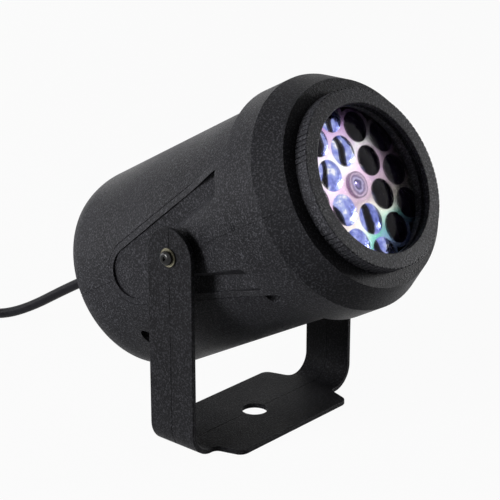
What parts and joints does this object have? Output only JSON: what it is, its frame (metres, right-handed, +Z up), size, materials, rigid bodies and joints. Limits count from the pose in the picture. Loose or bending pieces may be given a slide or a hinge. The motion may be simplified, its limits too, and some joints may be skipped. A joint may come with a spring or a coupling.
{
  "type": "snowflake projector light",
  "caption": "Round projector head that tilts between the arms of a U-shaped strap yoke, with a focus ring and a turning lens wheel behind a clear window, and a mains cord with a plug.",
  "frame": {"origin": "centre of the yoke's base hole at the underside of the base", "axes": "+Z up along the base hole, X along the tilt axis, the light leaves towards -Y"},
  "size_m": [0.1866, 0.3809, 0.1789],
  "materials": {
    "yoke_plastic": "fine spark-eroded grain",
    "shell_plastic": "fine spark-eroded grain",
    "ring_plastic": "satin",
    "inner_plastic": "matt",
    "gland_rubber": "satin",
    "seal_rubber": "matt",
    "cord_sheath": "satin",
    "plug_plastic": "satin",
    "pin_nickel": "bright nickel",
    "screw_steel": "dark zinc",
    "washer_steel": "zinc",
    "motor_steel": "zinc",
    "window_clear": "polished",
    "wheel_mirror": "iridescent mirror coating",
    "lens_clear": "polished",
    "hub_clear": "polished",
    "slide_film": "gloss film",
    "led_clear": "clear",
    "board_white": "white solder mask",
    "board_green": "solder mask",
    "sink_aluminium": "plain",
    "transformer_yellow": "taped winding",
    "capacitor_sleeve": "shrink sleeve",
    "terminal_plastic": "plain",
    "lead_insulation": "satin"
  },
  "bodies": {
    "yoke": {"yoke": "yoke_plastic", "cord_lead": "cord_sheath", "cord_coil": "cord_sheath", "cord_tail": "cord_sheath", "plug_body": "plug_plastic", "plug_pins": "pin_nickel"},
    "head": {"upper_shell": "shell_plastic", "lower_shell": "shell_plastic", "shell_screws": "screw_steel", "pivot_screws": "screw_steel", "pivot_washers": "washer_steel", "pivot_pads": "seal_rubber", "pivot_nuts": "screw_steel", "rear_cap": "shell_plastic", "rear_seal": "seal_rubber", "cord_gland": "gland_rubber", "gland_nut": "inner_plastic", "power_lead": "cord_sheath", "light_tube": "inner_plastic", "condenser_lens": "lens_clear", "lens_spacer": "inner_plastic", "pattern_slide": "slide_film", "slide_retainer": "inner_plastic", "led_board": "board_white", "led_emitters": "led_clear", "heat_sink": "sink_aluminium", "driver_board": "board_green", "driver_screws": "screw_steel", "driver_transformer": "transformer_yellow", "driver_capacitors": "capacitor_sleeve", "driver_terminals": "terminal_plastic", "led_leads": "lead_insulation", "motor_leads": "lead_insulation"},
    "focus_ring": {"focus_ring": "ring_plastic", "window_seal": "seal_rubber", "front_window": "window_clear", "window_retainer": "ring_plastic"},
    "lens_carriage": {"lens_carriage": "inner_plastic", "wheel_motor": "motor_steel", "motor_screws": "screw_steel"},
    "lens_wheel": {"lens_wheel": "wheel_mirror", "wheel_lenses": "lens_clear", "wheel_hub": "hub_clear", "motor_shaft": "screw_steel"}
  },
  "joints": [
    {"name": "head_tilt", "type": "hinge", "parent": "yoke", "child": "head", "pos_m": [0, 0, 0.0995], "axis": [-1, 0, 0], "range_deg": [-73.5, 31.5], "deforming": ["cord_lead"]},
    {"name": "focus_turn", "type": "hinge", "parent": "head", "child": "focus_ring", "pos_m": [0, 0, 0.0995], "axis": [0, -0.8788, 0.4772], "range_deg": [0, 60]},
    {"name": "lens_focus", "type": "slide", "parent": "head", "child": "lens_carriage", "axis": [0, -0.8788, 0.4772], "range_m": [-0.003, 0]},
    {"name": "wheel_spin", "type": "hinge", "parent": "lens_carriage", "child": "lens_wheel", "pos_m": [0, 0, 0.0995], "axis": [0, -0.8788, 0.4772], "continuous": true}
  ],
  "couplings": [
    {"joint": "lens_focus", "follows": "focus_turn", "m_per_rad": -0.0028648}
  ]
}
